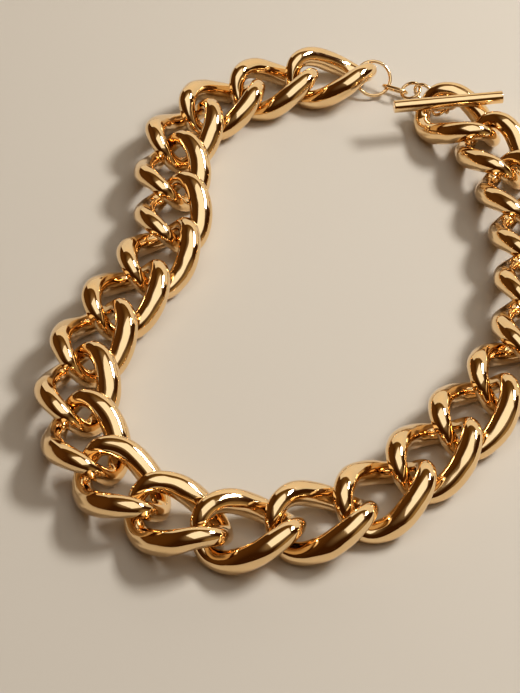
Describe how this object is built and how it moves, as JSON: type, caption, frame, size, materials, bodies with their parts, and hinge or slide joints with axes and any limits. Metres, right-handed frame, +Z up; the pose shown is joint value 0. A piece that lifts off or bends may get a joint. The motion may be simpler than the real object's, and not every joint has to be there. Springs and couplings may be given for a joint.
{
  "type": "curb chain necklace",
  "caption": "Chunky polished gold-tone curb-link necklace lying flat, its toggle bar held across the last link by a train of small rings.",
  "frame": {"origin": "centre of the necklace's outline on the surface it lies on", "axes": "+Z up from the surface; +Y from the front of the necklace to its clasp; +X to the side where the toggle bar lies"},
  "size_m": [0.1383, 0.1893, 0.0129],
  "materials": {
    "polished_gold": "mirror-polished yellow gold-tone plating"
  },
  "bodies": {
    "link_01": {"curb_link_01": "polished_gold"},
    "link_02": {"curb_link_02": "polished_gold"},
    "link_03": {"curb_link_03": "polished_gold"},
    "link_04": {"curb_link_04": "polished_gold"},
    "link_05": {"curb_link_05": "polished_gold"},
    "link_06": {"curb_link_06": "polished_gold"},
    "link_07": {"curb_link_07": "polished_gold"},
    "link_08": {"curb_link_08": "polished_gold"},
    "link_09": {"curb_link_09": "polished_gold"},
    "link_10": {"curb_link_10": "polished_gold"},
    "link_11": {"curb_link_11": "polished_gold"},
    "link_12": {"curb_link_12": "polished_gold"},
    "link_13": {"curb_link_13": "polished_gold"},
    "link_14": {"curb_link_14": "polished_gold"},
    "link_15": {"curb_link_15": "polished_gold"},
    "link_16": {"curb_link_16": "polished_gold"},
    "link_17": {"curb_link_17": "polished_gold"},
    "link_18": {"curb_link_18": "polished_gold"},
    "link_19": {"curb_link_19": "polished_gold"},
    "link_20": {"curb_link_20": "polished_gold"},
    "link_21": {"curb_link_21": "polished_gold"},
    "link_22": {"curb_link_22": "polished_gold"},
    "link_23": {"curb_link_23": "polished_gold"},
    "link_24": {"curb_link_24": "polished_gold"},
    "link_25": {"curb_link_25": "polished_gold"},
    "jump_ring": {"jump_ring": "polished_gold"},
    "connector_ring": {"connector_ring": "polished_gold"},
    "small_ring_1": {"small_ring_1": "polished_gold"},
    "small_ring_2": {"small_ring_2": "polished_gold"},
    "small_ring_3": {"small_ring_3": "polished_gold"},
    "small_ring_4": {"small_ring_4": "polished_gold"},
    "small_ring_5": {"small_ring_5": "polished_gold"},
    "toggle": {"toggle_bar": "polished_gold", "toggle_loop": "polished_gold"}
  },
  "joints": [
    {"name": "fold_01_left", "type": "hinge", "parent": "link_13", "child": "link_12", "pos_m": [-0.04054, -0.07688, 0.00624], "axis": [0.891, -0.454, 0], "range_deg": [0, 10]},
    {"name": "fold_01_right", "type": "hinge", "parent": "link_13", "child": "link_14", "pos_m": [-0.02512, -0.08473, 0.00624], "axis": [0.891, -0.454, 0], "range_deg": [0, 10]},
    {"name": "fold_02_left", "type": "hinge", "parent": "link_12", "child": "link_11", "pos_m": [-0.05277, -0.06465, 0.00624], "axis": [0.9261, -0.3774, 0], "range_deg": [0, 8]},
    {"name": "fold_02_right", "type": "hinge", "parent": "link_14", "child": "link_15", "pos_m": [-0.00792, -0.08292, 0.00624], "axis": [0.9261, -0.3774, 0], "range_deg": [0, 8]},
    {"name": "fold_03_left", "type": "hinge", "parent": "link_11", "child": "link_10", "pos_m": [-0.05897, -0.0485, 0.00624], "axis": [0.9146, -0.4043, 0], "range_deg": [0, 10]},
    {"name": "fold_03_right", "type": "hinge", "parent": "link_15", "child": "link_16", "pos_m": [0.00879, -0.07845, 0.00624], "axis": [0.9146, -0.4043, 0], "range_deg": [0, 10]},
    {"name": "fold_04_left", "type": "hinge", "parent": "link_10", "child": "link_09", "pos_m": [-0.05867, -0.0312, 0.00624], "axis": [0.9127, -0.4086, 0], "range_deg": [0, 12]},
    {"name": "fold_04_right", "type": "hinge", "parent": "link_16", "child": "link_17", "pos_m": [0.02205, -0.06733, 0.00624], "axis": [0.9127, -0.4086, 0], "range_deg": [0, 12]},
    {"name": "fold_05_left", "type": "hinge", "parent": "link_09", "child": "link_08", "pos_m": [-0.05275, -0.01494, 0.00624], "axis": [0.9097, -0.4153, 0], "range_deg": [0, 12]},
    {"name": "fold_05_right", "type": "hinge", "parent": "link_17", "child": "link_18", "pos_m": [0.03339, -0.05427, 0.00624], "axis": [0.9097, -0.4153, 0], "range_deg": [0, 12]},
    {"name": "fold_06_left", "type": "hinge", "parent": "link_08", "child": "link_07", "pos_m": [-0.04384, -0.00011, 0.00624], "axis": [0.9087, -0.4175, 0], "range_deg": [0, 12]},
    {"name": "fold_06_right", "type": "hinge", "parent": "link_18", "child": "link_19", "pos_m": [0.04356, -0.04027, 0.00624], "axis": [0.9087, -0.4175, 0], "range_deg": [0, 12]},
    {"name": "fold_07_left", "type": "hinge", "parent": "link_07", "child": "link_06", "pos_m": [-0.03708, 0.01581, 0.00624], "axis": [0.9061, -0.423, 0], "range_deg": [0, 10]},
    {"name": "fold_07_right", "type": "hinge", "parent": "link_19", "child": "link_20", "pos_m": [0.05468, -0.02702, 0.00624], "axis": [0.9061, -0.423, 0], "range_deg": [0, 10]},
    {"name": "fold_08_left", "type": "hinge", "parent": "link_06", "child": "link_05", "pos_m": [-0.03769, 0.0331, 0.00624], "axis": [0.9103, -0.4139, 0], "range_deg": [0, 12]},
    {"name": "fold_08_right", "type": "hinge", "parent": "link_20", "child": "link_21", "pos_m": [0.05679, -0.00985, 0.00624], "axis": [0.9103, -0.4139, 0], "range_deg": [0, 12]},
    {"name": "fold_09_left", "type": "hinge", "parent": "link_05", "child": "link_04", "pos_m": [-0.03859, 0.05038, 0.00624], "axis": [0.9148, -0.404, 0], "range_deg": [0, 12]},
    {"name": "fold_09_right", "type": "hinge", "parent": "link_21", "child": "link_22", "pos_m": [0.0589, 0.00732, 0.00624], "axis": [0.9148, -0.404, 0], "range_deg": [0, 12]},
    {"name": "fold_10_left", "type": "hinge", "parent": "link_04", "child": "link_03", "pos_m": [-0.03155, 0.06618, 0.00624], "axis": [0.9064, -0.4225, 0], "range_deg": [0, 12]},
    {"name": "fold_10_right", "type": "hinge", "parent": "link_22", "child": "link_23", "pos_m": [0.05769, 0.02458, 0.00624], "axis": [0.9064, -0.4225, 0], "range_deg": [0, 12]},
    {"name": "fold_11_left", "type": "hinge", "parent": "link_03", "child": "link_02", "pos_m": [-0.01774, 0.07659, 0.00624], "axis": [0.9005, -0.4349, 0], "range_deg": [0, 12]},
    {"name": "fold_11_right", "type": "hinge", "parent": "link_23", "child": "link_24", "pos_m": [0.05469, 0.04162, 0.00624], "axis": [0.9005, -0.4349, 0], "range_deg": [0, 12]},
    {"name": "fold_12_left", "type": "hinge", "parent": "link_02", "child": "link_01", "pos_m": [-0.00159, 0.08279, 0.00624], "axis": [0.8996, -0.4367, 0], "range_deg": [0, 4]},
    {"name": "fold_12_right", "type": "hinge", "parent": "link_24", "child": "link_25", "pos_m": [0.04934, 0.05807, 0.00624], "axis": [0.8996, -0.4367, 0], "range_deg": [0, 4]},
    {"name": "jump_ring_roll", "type": "hinge", "parent": "link_01", "child": "jump_ring", "pos_m": [0.01817, 0.08592, 0.00624], "axis": [0.7733, -0.3648, -0.5186], "range_deg": [-18, 15]},
    {"name": "connector_roll", "type": "hinge", "parent": "link_01", "child": "connector_ring", "pos_m": [0.0233, 0.0835, 0.0028], "axis": [0.887, -0.4605, 0.0341], "range_deg": [-20, 12]},
    {"name": "train_roll_1", "type": "hinge", "parent": "link_25", "child": "small_ring_1", "pos_m": [0.0285, 0.0808, 0.003], "axis": [0.9389, -0.1235, 0.3212], "range_deg": [-6, 6]},
    {"name": "train_roll_2", "type": "hinge", "parent": "link_25", "child": "small_ring_2", "pos_m": [0.0323, 0.0803, 0.0043], "axis": [0.8511, -0.5107, -0.1216], "range_deg": [-6, 6]},
    {"name": "train_roll_3", "type": "hinge", "parent": "link_25", "child": "small_ring_3", "pos_m": [0.0358, 0.0782, 0.0038], "axis": [0.4662, -0.8833, -0.0491], "range_deg": [-6, 6]},
    {"name": "train_roll_4", "type": "hinge", "parent": "link_25", "child": "small_ring_4", "pos_m": [0.0377, 0.0746, 0.0036], "axis": [0.3673, -0.8952, 0.2525], "range_deg": [-6, 6]},
    {"name": "train_roll_5", "type": "hinge", "parent": "link_25", "child": "small_ring_5", "pos_m": [0.0393, 0.0707, 0.0047], "axis": [0.0253, -0.7069, 0.7069], "range_deg": [-6, 6]},
    {"name": "toggle_swivel", "type": "hinge", "parent": "link_25", "child": "toggle", "pos_m": [0.0398, 0.06605, 0.0112], "axis": [0, 0, 1], "range_deg": [-10, 3]}
  ],
  "couplings": [
    {"joint": "fold_01_right", "follows": "fold_01_left", "ratio": 1},
    {"joint": "fold_02_right", "follows": "fold_02_left", "ratio": 1},
    {"joint": "fold_03_right", "follows": "fold_03_left", "ratio": 1},
    {"joint": "fold_04_right", "follows": "fold_04_left", "ratio": 1},
    {"joint": "fold_05_right", "follows": "fold_05_left", "ratio": 1},
    {"joint": "fold_06_right", "follows": "fold_06_left", "ratio": 1},
    {"joint": "fold_07_right", "follows": "fold_07_left", "ratio": 1},
    {"joint": "fold_08_right", "follows": "fold_08_left", "ratio": 1},
    {"joint": "fold_09_right", "follows": "fold_09_left", "ratio": 1},
    {"joint": "fold_10_right", "follows": "fold_10_left", "ratio": 1},
    {"joint": "fold_11_right", "follows": "fold_11_left", "ratio": 1},
    {"joint": "fold_12_right", "follows": "fold_12_left", "ratio": 1},
    {"joint": "train_roll_2", "follows": "train_roll_1", "ratio": 1},
    {"joint": "train_roll_3", "follows": "train_roll_1", "ratio": 1},
    {"joint": "train_roll_4", "follows": "train_roll_1", "ratio": 1},
    {"joint": "train_roll_5", "follows": "train_roll_1", "ratio": 1}
  ]
}
